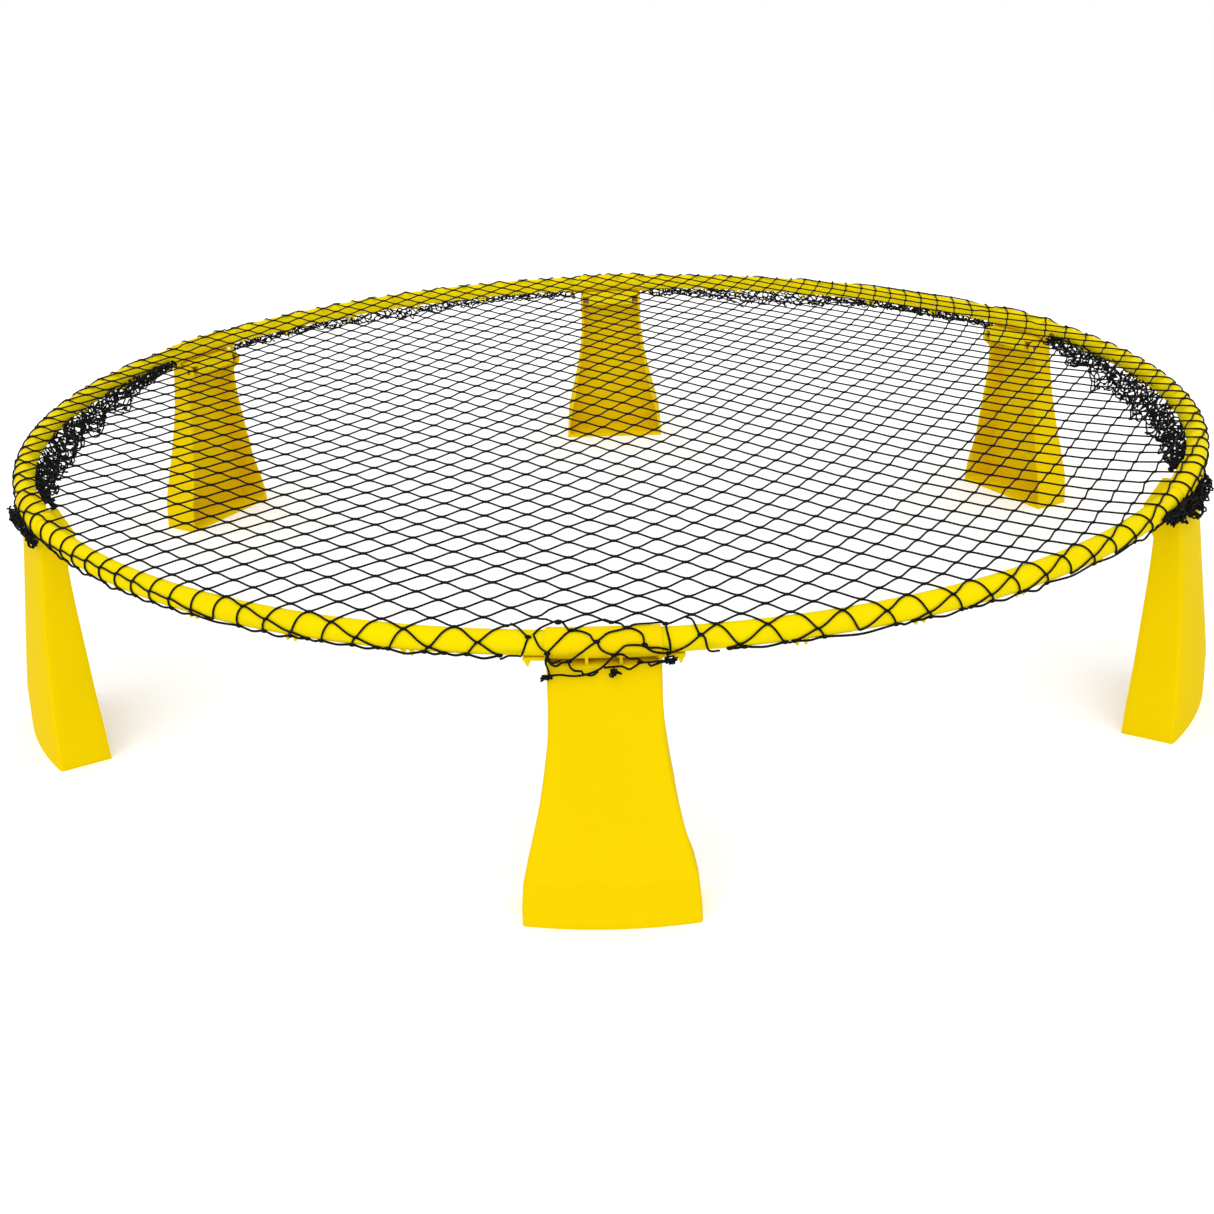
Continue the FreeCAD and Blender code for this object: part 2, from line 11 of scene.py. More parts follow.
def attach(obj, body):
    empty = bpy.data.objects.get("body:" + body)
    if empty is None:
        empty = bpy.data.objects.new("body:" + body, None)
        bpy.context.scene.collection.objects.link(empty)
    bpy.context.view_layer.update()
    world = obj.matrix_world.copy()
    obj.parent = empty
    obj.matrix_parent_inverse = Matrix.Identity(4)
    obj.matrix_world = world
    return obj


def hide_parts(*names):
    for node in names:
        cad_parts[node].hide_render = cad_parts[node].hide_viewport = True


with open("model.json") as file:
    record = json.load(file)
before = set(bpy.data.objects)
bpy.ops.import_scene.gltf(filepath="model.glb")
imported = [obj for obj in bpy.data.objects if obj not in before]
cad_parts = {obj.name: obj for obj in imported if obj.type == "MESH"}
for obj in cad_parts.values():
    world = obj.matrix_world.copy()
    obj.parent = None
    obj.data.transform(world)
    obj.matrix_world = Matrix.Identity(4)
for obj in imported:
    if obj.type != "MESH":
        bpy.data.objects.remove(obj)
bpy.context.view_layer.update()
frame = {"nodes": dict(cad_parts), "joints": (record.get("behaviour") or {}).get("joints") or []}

# Roundnet set: yellow rim and folding legs, black knotted net. Metres, the same places as the frame.
# Station 1 is the front leg, on -Y, and stations count anticlockwise seen from above.

MM = 0.001
STATIONS = 6
SPAN = math.tau / STATIONS

RIM_R = 457.2 * MM
TUBE_R = 7.15 * MM
RING_R = RIM_R - TUBE_R
RIM_Z = 169.5 * MM
SLEEVE_R = 8.7 * MM
HALF_SLEEVE = 31.7 * MM
END_GAP = 0.3 * MM

TOOTH_WIDTH = 5.2 * MM
TOOTH_HEIGHT = 4.3 * MM
TOOTH_THICK = 2.6 * MM
TOOTH_TILT = math.radians(-4)
TOOTH_START = 110.7 * MM
TOOTH_STEP = 73.8 * MM
TOOTH_PAIRS = 4
TOOTH_POINT = 0.12  # width of the tip as a share of the root's
TOOTH_ROOT = 0.6 * TUBE_R
TUBE_STEPS = 60
TUBE_SIDES = 32
SLEEVE_STEPS = 12
SLEEVE_SIDES = 40
# A sleeve's end is rounded off: how far along and how much thinner, as shares of the round
ROUND_ALONG = (0, 0.35, 1)
ROUND_LESS = (1, 0.3, 0)

PIVOT_R = -frame["joints"][0]["pos_m"][1]
PIVOT_Z = frame["joints"][0]["pos_m"][2]
EAR_R = 5.0 * MM
LEG_TOP_Z = PIVOT_Z + EAR_R
HALF_TOP = 31.8 * MM
# The leg's flare: heights and half widths, in mm
FLARE = (
    (0, 52.1), (12, 51.9), (27, 50.5), (44, 46.7), (58, 43.2), (73, 39.6), (87.5, 36.6), (102, 34.3),
    (116, 32.7), (128, 32.0), (138, 31.8),
)
LEG_WALL = 2.6 * MM
FLOOR = 3.0 * MM
LEDGE = 2.5 * MM
LEDGE_IN_R = RIM_R - 14 * MM
FOOT_REACH = 21.2 * MM
BAND_REACH = 19.7 * MM
BAND_Z = 29 * MM
# The back edge inside the ring's outside, at the floor and at BACK_Z, and its lobe below the hinge
HEEL_IN = 18.6 * MM
BACK_IN = 16.7 * MM
BACK_Z = 118 * MM
LOBE_Z = 14 * MM
LOBE_FULL = 2 * MM
FACE_BOW = 260 * MM
CORNER = 2.6 * MM

CORD_R = 0.64 * MM

# The noise starts from the clock unless it's given a seed, and each run has to give the same shapes
NOISE_SEED = 1
noise.seed_set(NOISE_SEED)


def on_ring(angle, radius, height=0.0):
    """The point at an angle anticlockwise from station 1."""
    return Vector((radius * math.sin(angle), -radius * math.cos(angle), height))


def turned(angle):
    return Matrix.Rotation(angle, 4, "Z")


def linked(name, data):
    """A new object in the scene."""
    piece = bpy.data.objects.new(name, data)
    bpy.context.scene.collection.objects.link(piece)
    return piece


# Materials

# Scale and detail of each noise
FLOW = (9.0, 3.0)
SCUFF = (60.0, 5.0)
GRAIN = (1800.0, 2.0)
FIBRE = (900.0, 3.0)
WEAR = (400.0, 4.0)
SCUFF_ROUGHER = 0.08
SCUFF_SMOOTHER = 0.06
PLASTIC_IOR = 1.47
PLASTIC_GLOSS = 0.01
TWINE_ROUGHNESS = 0.82
TWINE_GLOSS = 0.1
TWINE_SHEEN = 0.01
TWINE_DARK = (0.002, 0.002, 0.002)
TWINE_DUSTY = (0.009, 0.0085, 0.0085)
PIN_BROWN = (0.2, 0.1, 0.06)
PIN_METALLIC = 0.85
PIN_ROUGHNESS = (0.3, 0.5)


def node_material(name):
    material = bpy.data.materials.new(name)
    material.use_nodes = True
    tree = material.node_tree
    return material, tree, tree.nodes["Principled BSDF"]


def link_noise(tree, kind, low=0.0, high=1.0):
    """A noise of a (scale, detail), and the same mapped from low to high."""
    scale, detail = kind
    coords = tree.nodes.new("ShaderNodeTexCoord")
    texture = tree.nodes.new("ShaderNodeTexNoise")
    texture.inputs["Scale"].default_value = scale
    texture.inputs["Detail"].default_value = detail
    tree.links.new(coords.outputs["Object"], texture.inputs["Vector"])
    spread = tree.nodes.new("ShaderNodeMapRange")
    spread.inputs["To Min"].default_value = low
    spread.inputs["To Max"].default_value = high
    tree.links.new(texture.outputs["Fac"], spread.inputs["Value"])
    return texture, spread


def tint(tree, shader, texture, low, high):
    """Colours a surface by a noise, from one (position, colour) to another."""
    ramp = tree.nodes.new("ShaderNodeValToRGB")
    for stop, (position, colour) in zip(ramp.color_ramp.elements, (low, high)):
        stop.position = position
        stop.color = (*colour, 1)
    tree.links.new(texture.outputs["Fac"], ramp.inputs["Fac"])
    tree.links.new(ramp.outputs["Color"], shader.inputs["Base Color"])


def roughen(tree, shader, texture, strength, distance):
    """Gives a surface the fine relief of a noise."""
    bump = tree.nodes.new("ShaderNodeBump")
    bump.inputs["Strength"].default_value = strength
    bump.inputs["Distance"].default_value = distance
    tree.links.new(texture.outputs["Fac"], bump.inputs["Height"])
    tree.links.new(bump.outputs["Normal"], shader.inputs["Normal"])


def plastic(name, colour, deep, roughness):
    """Moulded plastic: faint flow marks in its colour, a fine satin grain and hardly any gloss."""
    material, tree, shader = node_material(name)
    flow, _ = link_noise(tree, FLOW)
    tint(tree, shader, flow, (0.3, deep), (0.65, colour))
    _, scuffs = link_noise(tree, SCUFF, roughness - SCUFF_SMOOTHER, roughness + SCUFF_ROUGHER)
    tree.links.new(scuffs.outputs["Result"], shader.inputs["Roughness"])
    grain, _ = link_noise(tree, GRAIN)
    roughen(tree, shader, grain, 0.12, 0.1 * MM)
    shader.inputs["IOR"].default_value = PLASTIC_IOR
    shader.inputs["Specular IOR Level"].default_value = PLASTIC_GLOSS
    return material


def cord_material():
    """Black twisted twine: fibres that run round the cord, and a little dusty sheen."""
    material, tree, shader = node_material("black_twine")
    fibre, _ = link_noise(tree, FIBRE)
    tint(tree, shader, fibre, (0.35, TWINE_DARK), (0.75, TWINE_DUSTY))
    roughen(tree, shader, fibre, 0.6, 0.2 * MM)
    shader.inputs["Roughness"].default_value = TWINE_ROUGHNESS
    shader.inputs["Specular IOR Level"].default_value = TWINE_GLOSS
    shader.inputs["Sheen Weight"].default_value = TWINE_SHEEN
    return material


def steel_material():
    """Copper-brown plated steel of the hinge pins."""
    material, tree, shader = node_material("pin_metal")
    _, rough = link_noise(tree, WEAR, *PIN_ROUGHNESS)
    tree.links.new(rough.outputs["Result"], shader.inputs["Roughness"])
    shader.inputs["Base Color"].default_value = (*PIN_BROWN, 1)
    shader.inputs["Metallic"].default_value = PIN_METALLIC
    return material


YELLOW = (0.84, 0.605, 0.0005)
YELLOW_DEEP = (0.81, 0.58, 0.0005)
# The rim's yellow and its deep tone are the legs' yellow made lighter and more lemon. This is painted light,
# standing in for the brighter look of the rim's lit tops, and the sockets' plastic takes the same lighter
# yellow.
RIM_YELLOW_PAINTED_LIGHT = (0.86, 0.69, 0.0005)
RIM_DEEP_PAINTED_LIGHT = (0.82, 0.65, 0.0005)
LEG_PLASTIC = plastic("leg_plastic", YELLOW, YELLOW_DEEP, 0.55)
RIM_PLASTIC_PAINTED_LIGHT = plastic("rim_plastic", RIM_YELLOW_PAINTED_LIGHT, RIM_DEEP_PAINTED_LIGHT, 0.5)
SOCKET_PLASTIC_PAINTED_LIGHT = plastic("socket_plastic", RIM_YELLOW_PAINTED_LIGHT, YELLOW_DEEP, 0.55)
TWINE = cord_material()
PIN_METAL = steel_material()
SMOOTH_UNDER = math.radians(35)
CORD_SMOOTH_UNDER = math.radians(60)


# Mesh helpers

def place(mesh, name, material, slot, body, nodes=(), smooth=SMOOTH_UNDER):
    """Makes an object of a mesh, which rides on a body and may stand for CAD nodes."""
    piece = linked(name, mesh)
    mesh.materials.clear()
    mesh.materials.append(material)
    mesh.shade_smooth()
    mesh.set_sharp_from_angle(angle=smooth)
    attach(piece, body)
    if nodes:
        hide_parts(*nodes)
    return piece


def mesh_from(name, verts, faces):
    mesh = bpy.data.meshes.new(name)
    mesh.from_pydata([tuple(v) for v in verts], [], [tuple(f) for f in faces])
    mesh.validate()
    return mesh


def face_outwards(mesh):
    made = bmesh.new()
    made.from_mesh(mesh)
    bmesh.ops.recalc_face_normals(made, faces=made.faces[:])
    made.to_mesh(mesh)
    made.free()


def loops_solid(name, loops):
    """A closed mesh through loops of as many points, with a face over each end."""
    count = len(loops[0])
    verts = [p for loop in loops for p in loop]
    faces = [tuple(range(count))[::-1]]
    for i in range(len(loops) - 1):
        for k in range(count):
            a, b = i * count + k, i * count + (k + 1) % count
            faces.append((a, b, b + count, a + count))
    last = (len(loops) - 1) * count
    faces.append(tuple(range(last, last + count)))
    mesh = mesh_from(name, verts, faces)
    face_outwards(mesh)
    return mesh


def join_into(target, mesh, matrix=None):
    """Adds a mesh, moved by a matrix, to a bmesh, and removes it."""
    if matrix is not None:
        mesh.transform(matrix)
    target.from_mesh(mesh)
    bpy.data.meshes.remove(mesh)


def block(x0, x1, r0, r1, z0, z1, bevel=0.3 * MM):
    """A block at station 1 with rounded edges."""
    made = bmesh.new()
    bmesh.ops.create_cube(made, size=1)
    low, high = (x0, -r1, z0), (x1, -r0, z1)
    for vert in made.verts:
        vert.co = Vector([a if side < 0 else b for side, a, b in zip(vert.co, low, high)])
    bmesh.ops.bevel(made, geom=made.edges[:], offset=bevel, segments=2, affect="EDGES", profile=0.6)
    mesh = bpy.data.meshes.new("block")
    made.to_mesh(mesh)
    made.free()
    return mesh


# Rim tubes with their pairs of teeth

def circle(radius, sides):
    """Points round a circle, the other way round from their angles, as (cosine, sine) parts."""
    turns = [math.tau * k / sides for k in range(sides)]
    return [(radius * math.cos(turn), radius * math.sin(turn)) for turn in turns][::-1]


def ring_arc(radius, start, end, steps, sides, rounding=0.0):
    """A rod bent along the ring between two angles, its ends rounded off."""
    loops = []
    angles = [start + (end - start) * i / steps for i in range(steps + 1)]
    shrink = [0.0] * len(angles)
    if rounding:
        along = [share * rounding / RING_R for share in ROUND_ALONG]
        less = [share * rounding for share in ROUND_LESS]
        angles = [start + a for a in along] + angles[1:-1] + [end - a for a in along[::-1]]
        shrink = less + [0] * (len(angles) - 2 * len(less)) + less[::-1]
    for angle, less in zip(angles, shrink):
        loops.append([on_ring(angle, RING_R + out, RIM_Z + up) for out, up in circle(radius - less, sides)])
    return loops_solid("ring_arc", loops)


def tooth(angle, root, tip, tilt):
    """A small pointed wedge under the tube."""
    half = TOOTH_WIDTH / 2
    thick = TOOTH_THICK / 2
    point = half * TOOTH_POINT
    outline = [(-half, root), (half, root), (point, tip), (-point, tip)]
    near = [Vector((x, -thick, -d)) for x, d in outline]
    far = [Vector((x, thick, -d)) for x, d in outline]
    mesh = loops_solid("tooth", [near, far])
    lean = Matrix.Rotation(-tilt, 4, "X")
    mesh.transform(turned(angle) @ Matrix.Translation((0, -RING_R, RIM_Z)) @ lean)
    return mesh


def rim_tubes():
    for k in range(STATIONS):
        made = bmesh.new()
        start, end = k * SPAN, (k + 1) * SPAN
        gap = END_GAP / RING_R
        join_into(made, ring_arc(TUBE_R, start + gap, end - gap, TUBE_STEPS, TUBE_SIDES))
        for i in range(TOOTH_PAIRS):
            middle = (TOOTH_START + i * TOOTH_STEP) / RING_R
            for side in (-1, 1):
                away = middle + side * TOOTH_WIDTH / 2 / RING_R
                angle = start + away if k % 2 == 0 else end - away
                join_into(made, tooth(angle, TOOTH_ROOT, TUBE_R + TOOTH_HEIGHT, TOOTH_TILT))
        mesh = bpy.data.meshes.new(f"rim_tube_{k + 1}")
        made.to_mesh(mesh)
        made.free()
        # The rim tubes get the lighter yellow, which has painted top light in it.
        place(mesh, f"rim_{k + 1}", RIM_PLASTIC_PAINTED_LIGHT, "rim_plastic", "rim", [f"rim_tube_{k + 1}"])


# Leg sockets: sleeve, web with ribs, roof and knuckle over the hinge, side tongues

WEB_Z = LEG_TOP_Z + 0.3 * MM
WEB_TOP_Z = RIM_Z - 5 * MM
WEB_FRONT_R = RING_R - 1.5 * MM
WEB_BACK_R = WEB_FRONT_R - 3 * MM
RIB_FRONT_R = RIM_R - 0.6 * MM
RIB_HALF = 0.9 * MM
RIB_OFFSET = 9.4 * MM
WEB_HALF = 28.9 * MM
ROOF_Z = WEB_Z + 0.3 * MM
ROOF_TOP_Z = ROOF_Z + 2.4 * MM
KNUCKLE_R = 4.8 * MM
KNUCKLE_HALF = 23 * MM
KNUCKLE_SIDES = 32
KNUCKLE_BACK_R = PIVOT_R - KNUCKLE_R
SLEEVE_ROUND = 0.4 * MM
TONGUE_THICK = 2 * MM
TONGUE_IN = HALF_SLEEVE - 3 * MM
TONGUE_TIP = TONGUE_IN + 16 * MM
TONGUE_HALF = 2 * MM
TONGUE_TOP_Z = RIM_Z - TUBE_R - 0.3 * MM
TONGUE_Z = TONGUE_TOP_Z - TONGUE_THICK
SIDE_TOOTH_ROOT = TUBE_R + 0.6 * MM
SIDE_TOOTH_TIP = TUBE_R + TONGUE_THICK + TOOTH_HEIGHT


def hinge_rod(name, half_length, radius, sides):
    """A rod along the hinge of leg 1."""
    loops = []
    for x in (-half_length, half_length):
        loops.append([Vector((x, -PIVOT_R + back, PIVOT_Z + up)) for back, up in circle(radius, sides)])
    return loops_solid(name, loops)


def leg_sockets():
    half = HALF_SLEEVE / RING_R
    ends = HALF_TOP - RIB_HALF
    for k in range(STATIONS):
        made = bmesh.new()
        join_into(made, ring_arc(SLEEVE_R, -half, half, SLEEVE_STEPS, SLEEVE_SIDES, SLEEVE_ROUND))
        join_into(made, block(-WEB_HALF, WEB_HALF, WEB_BACK_R, WEB_FRONT_R, WEB_Z, WEB_TOP_Z))
        for x in (-ends, -RIB_OFFSET, RIB_OFFSET, ends):
            join_into(made, block(x - RIB_HALF, x + RIB_HALF, WEB_BACK_R, RIB_FRONT_R, WEB_Z, WEB_TOP_Z))
        join_into(made, block(-WEB_HALF, WEB_HALF, KNUCKLE_BACK_R, WEB_FRONT_R, ROOF_Z, ROOF_TOP_Z))
        join_into(made, block(-KNUCKLE_HALF, KNUCKLE_HALF, KNUCKLE_BACK_R + 0.1 * MM, PIVOT_R + KNUCKLE_R,
                              PIVOT_Z, ROOF_TOP_Z - 0.5 * MM))
        join_into(made, hinge_rod("knuckle", KNUCKLE_HALF, KNUCKLE_R, KNUCKLE_SIDES))
        for side in (-1, 1):
            x0, x1 = sorted((side * TONGUE_IN, side * TONGUE_TIP))
            join_into(made, block(x0, x1, RING_R - TONGUE_HALF, RING_R + TONGUE_HALF, TONGUE_Z, TONGUE_TOP_Z))
            beside = Matrix.Translation((side * (TONGUE_TIP - TOOTH_WIDTH / 2), 0, 0))
            join_into(made, tooth(0, SIDE_TOOTH_ROOT, SIDE_TOOTH_TIP, 0), beside)
        mesh = bpy.data.meshes.new(f"leg_socket_{k + 1}")
        made.to_mesh(mesh)
        made.free()
        mesh.transform(turned(k * SPAN))
        # The sockets get the rim's lighter yellow, which has painted top light in it.
        place(mesh, f"socket_{k + 1}", SOCKET_PLASTIC_PAINTED_LIGHT, "socket_plastic", "rim", [f"leg_socket_{k + 1}"])


# Legs: flared, splayed shells with rounded corners, open behind

REAR_DRAW = 3.6 * MM
REAR_DRAW_Z = 46 * MM
REAR_DRAW_SPAN = 26 * MM
CREASE = 1.2 * MM
INNER_CORNER = 1.2 * MM
WALL_POINTS = 5
CORNER_STEPS = 6
FACE_STEPS = 12
LEG_STEPS = 30
LOBE_STEPS = (1, 0.8, 0.62, 0.45, 0.3, 0.15)
EAR_DEGREES = (18, 36, 52, 66, 78)
BEHIND_R = PIVOT_R - 30 * MM  # well behind the leg, where the cutting shapes end
BORE_R = 2.07 * MM
BORE_SIDES = 24
LEG_SOFTEN = 0.45 * MM
SOFTEN_OVER = math.radians(50)


def half_width(z):
    """The leg's half width: it flares evenly down to the band at its foot."""
    heights, widths = zip(*FLARE)
    return float(np.interp(z / MM, heights, widths)) * MM


def front_radius(z):
    """The face's distance from the middle of the set, with a soft crease at the band's top."""
    low = FOOT_REACH - (FOOT_REACH - BAND_REACH) * z / BAND_Z
    high = BAND_REACH * (LEG_TOP_Z - z) / (LEG_TOP_Z - BAND_Z)
    return RIM_R + min(low, high)


def back_radius(z):
    """The back edge: nearly upright from the heel, with a round lobe about the hinge."""
    if z > PIVOT_Z:
        return PIVOT_R - math.sqrt(max(EAR_R ** 2 - (z - PIVOT_Z) ** 2, 0))
    edge = RIM_R - HEEL_IN + (HEEL_IN - BACK_IN) * min(z / BACK_Z, 1)
    lobe = min(max((z - PIVOT_Z + LOBE_Z) / (LOBE_Z - LOBE_FULL), 0), 1)
    return edge + (PIVOT_R - EAR_R - edge) * lobe * lobe * (3 - 2 * lobe)


def rear_draw(z):
    """How much narrower the side walls stand at their back edges, where the flare is straighter."""
    return REAR_DRAW * math.exp(-((z - REAR_DRAW_Z) / REAR_DRAW_SPAN) ** 2)


def leg_loop(z, inset, corner, behind=None):
    """The leg's outline at a height, from the back on the right round the face to the back on the left."""
    half = half_width(z) - inset
    rear = half - rear_draw(z)
    front = front_radius(z) - inset
    bow = FACE_BOW - inset
    back = back_radius(z) if behind is None else behind

    def face(x):
        return front - bow + math.sqrt(bow ** 2 - x ** 2)
    centre = (half - corner, face(half - corner) - corner)
    right = []
    for i in range(WALL_POINTS):
        x = rear + (half - rear) * i / WALL_POINTS
        right.append((x, back + (centre[1] - back) * i / WALL_POINTS))
    for i in range(CORNER_STEPS + 1):
        turn = math.pi / 2 * i / CORNER_STEPS
        right.append((centre[0] + corner * math.cos(turn), centre[1] + corner * math.sin(turn)))
    middle = []
    for i in range(1, FACE_STEPS):
        x = centre[0] * (1 - 2 * i / FACE_STEPS)
        middle.append((x, face(x)))
    left = [(-x, r) for x, r in right[::-1]]
    return [Vector((x, -r, z)) for x, r in right + middle + left]


def leg_heights(low, high):
    """Even heights, and those where the leg's outline turns."""
    heights = {low + (high - low) * i / LEG_STEPS for i in range(LEG_STEPS + 1)}
    marks = [z * MM for z, _ in FLARE] + [BAND_Z - CREASE, BAND_Z, BAND_Z + CREASE, PIVOT_Z]
    heights |= {z for z in marks if low < z < high}
    if high > PIVOT_Z:
        heights |= {PIVOT_Z - LOBE_Z * share for share in LOBE_STEPS}
        heights |= {PIVOT_Z + EAR_R * math.sin(math.radians(a)) for a in EAR_DEGREES}
    return sorted(heights)


def cut_away(base, cutter):
    """Subtracts one object from another for good."""
    step = base.modifiers.new("cut", "BOOLEAN")
    step.object = cutter
    step.solver = "EXACT"
    apply_modifiers(base)
    bpy.data.objects.remove(cutter)


def apply_modifiers(piece):
    graph = bpy.context.evaluated_depsgraph_get()
    mesh = bpy.data.meshes.new_from_object(piece.evaluated_get(graph))
    old = piece.data
    piece.modifiers.clear()
    piece.data = mesh
    bpy.data.meshes.remove(old)


def leg_master():
    """The mesh of leg 1, which the others repeat."""
    outer = [leg_loop(z, 0, CORNER) for z in leg_heights(0, LEG_TOP_Z)]
    leg = linked("leg_outer", loops_solid("leg_outer", outer))
    inner_heights = leg_heights(FLOOR, LEG_TOP_Z - LEDGE)
    inner = [leg_loop(z, LEG_WALL, INNER_CORNER, BEHIND_R) for z in inner_heights]
    cut_away(leg, linked("leg_inner", loops_solid("leg_inner", inner)))
    half = HALF_TOP - LEG_WALL
    mouth = block(-half, half, BEHIND_R, LEDGE_IN_R, PIVOT_Z, LEG_TOP_Z + 20 * MM, 0.1 * MM)
    cut_away(leg, linked("leg_mouth", mouth))
    cut_away(leg, linked("leg_bore", hinge_rod("leg_bore", 2 * HALF_TOP, BORE_R, BORE_SIDES)))
    soften = leg.modifiers.new("soften", "BEVEL")
    soften.width = LEG_SOFTEN
    soften.segments = 2
    soften.limit_method = "ANGLE"
    soften.angle_limit = SOFTEN_OVER
    apply_modifiers(leg)
    mesh = leg.data
    bpy.data.objects.remove(leg)
    return mesh


def legs():
    master = leg_master()
    for k in range(STATIONS):
        mesh = master.copy()
        mesh.transform(turned(k * SPAN))
        place(mesh, f"leg_shell_{k + 1}", LEG_PLASTIC, "leg_plastic", f"leg_{k + 1}", [f"leg_{k + 1}"])


# Cords

TINY = 1e-12
CORD_UP = (0.31, 0.22, 0.92)  # no cord runs quite this way
# A knot's profile: places along it and widths, as shares of its half length and half width
KNOT_PROFILE = ((-1.0, 0.25), (-0.6, 0.85), (0.0, 1.05), (0.6, 0.85), (1.0, 0.25))


def unit(vectors):
    return vectors / (np.linalg.norm(vectors, axis=-1, keepdims=True) + TINY)


def cord_mesh_data(paths, normals, radii, sides):
    """Vertices and faces of round cords along paths of as many points: arrays (cords, points, 3)."""
    paths = np.asarray(paths, float)
    tangents = unit(np.gradient(paths, axis=1))
    across = unit(normals - (normals * tangents).sum(2, keepdims=True) * tangents)
    beside = np.cross(tangents, across)
    turns = np.arange(sides) * math.tau / sides
    radii = np.broadcast_to(radii, paths.shape[:2])[:, :, None, None]
    spoke = (np.cos(turns)[None, None, :, None] * across[:, :, None, :]
             + np.sin(turns)[None, None, :, None] * beside[:, :, None, :])
    rings = paths[:, :, None, :] + radii * spoke
    cords, points = paths.shape[:2]
    faces = []
    side = np.arange(sides)
    after = (side + 1) % sides
    for c in range(cords):
        for p in range(points - 1):
            low = (c * points + p) * sides
            high = low + sides
            faces += np.stack([low + side, low + after, high + after, high + side], 1).tolist()
        first = c * points * sides
        last = first + (points - 1) * sides
        faces.append(list(range(first, first + sides))[::-1])
        faces.append(list(range(last, last + sides)))
    return rings.reshape(-1, 3), faces


class CordBundle:
    """Cords and knots gathered into one mesh."""

    def __init__(self):
        self.verts = []
        self.faces = []
        self.count = 0

    def add(self, verts, faces):
        self.verts.append(verts)
        self.faces += [[i + self.count for i in face] for face in faces]
        self.count += len(verts)

    def cords(self, paths, normals, radius=CORD_R, sides=5):
        self.add(*cord_mesh_data(paths, normals, radius, sides))

    def cord(self, points, radius=CORD_R, sides=6, step=1.2 * MM):
        """One cord along a smooth line through the points."""
        line = smooth_line(points, step)
        tangents = unit(np.gradient(line, axis=0))
        normals = np.zeros(line.shape)
        across = np.array(CORD_UP)
        for i, tangent in enumerate(tangents):
            across = unit(across - across.dot(tangent) * tangent)
            normals[i] = across
        self.cords(line[None], normals[None], radius, sides)

    def knots(self, places, length, width, along, normals, sides=6):
        """Small round-ended knots: along gives each one's long direction."""
        places = np.asarray(places, float)
        paths = np.stack([places + along * length / 2 * far for far, _ in KNOT_PROFILE], 1)
        sizes = np.array([width / 2 * wide for _, wide in KNOT_PROFILE])[None, :]
        normals = np.repeat(normals[:, None, :], len(KNOT_PROFILE), 1)
        self.add(*cord_mesh_data(paths, normals, sizes, sides))

    def mesh(self, name):
        return mesh_from(name, np.concatenate(self.verts), self.faces)


def smooth_line(points, step):
    """Points at even steps along a Catmull-Rom line through the given ones."""
    points = [np.array(p, float) for p in points]
    points = [2 * points[0] - points[1]] + points + [2 * points[-1] - points[-2]]
    line = []
    for a, b, c, d in zip(points, points[1:], points[2:], points[3:]):
        count = max(2, int(np.linalg.norm(c - b) / step))
        for i in range(count):
            t = i / count
            line.append(0.5 * (2 * b + (c - a) * t + (2 * a - 5 * b + 4 * c - d) * t ** 2
                               + (3 * b - a - 3 * c + d) * t ** 3))
    line.append(points[-2])
    return np.array(line)


# Net: one knotted mesh that lies flat inside the ring and wraps over the tubes

WRAP_CLEAR = 0.12 * MM
NET_Z = RIM_Z + 8.5 * MM
HEM_TURN = math.radians(134)
HEM_TURN_AT_LEG = math.radians(98)
# Along the ring from a station: where each of these ends, and the stretch over which it fades
SLEEVE_END = HALF_SLEEVE + 0.2 * MM
SLEEVE_FADE = 3.5 * MM
LEG_END = 36 * MM
LEG_FADE = 10 * MM
BED_FADE = 70 * MM  # how far in from the tube the net reaches its level
STRAY = 1.5  # unevenness of the knots, in mm
NET_KNOT = (3.6 * MM, 2.0 * MM)
HEM_MARGIN = 1.5 * MM
BEND_FROM = RING_R - 4 * MM
HALVINGS = 14
FLAT_POINTS = 5
BENT_POINTS = 12
# Where the net hangs loose over the front leg: between these x, outside this radius
LOOSE = (-52 * MM, 54 * MM)
LOOSE_FROM = 449 * MM


def station_distance(angle):
    """How far along the ring an angle is from the nearest station."""
    nearest = np.round(angle / SPAN) * SPAN
    return np.abs(angle - nearest) * RING_R


def ease(t):
    """From 0 to 1, slow at both ends."""
    t = np.clip(t, 0, 1)
    return t * t * (3 - 2 * t)


def wrap_radius(angle):
    """How far from the tube's centre the net runs: further out over the sleeves."""
    away = station_distance(angle)
    share = 1 - ease((away - SLEEVE_END) / SLEEVE_FADE)
    return TUBE_R + (SLEEVE_R - TUBE_R) * share + CORD_R + WRAP_CLEAR


def hem_radius(angle):
    """How far out on the flat mesh the hem lies."""
    away = station_distance(angle)
    share = 1 - ease((away - LEG_END) / LEG_FADE)
    turn = HEM_TURN + (HEM_TURN_AT_LEG - HEM_TURN) * share
    return RING_R + wrap_radius(angle) * turn


def drape(flat):
    """Places on the flat mesh, laid over the ring: positions and outward normals."""
    rho = np.hypot(flat[..., 0], flat[..., 1])
    angle = np.arctan2(flat[..., 0], -flat[..., 1])
    radius = wrap_radius(angle)
    turn = np.clip((rho - RING_R) / radius, 0, None)
    inside = ease((RING_R - rho) / BED_FADE)
    r = np.where(rho < RING_R, rho, RING_R + radius * np.sin(turn))
    bed = RIM_Z + radius + (NET_Z - RIM_Z - radius) * inside
    z = np.where(rho < RING_R, bed, RIM_Z + radius * np.cos(turn))
    place3 = np.stack([r * np.sin(angle), -r * np.cos(angle), z], -1)
    out = np.sin(turn)
    normal = np.stack([out * np.sin(angle), -out * np.cos(angle), np.cos(turn)], -1)
    return place3, normal


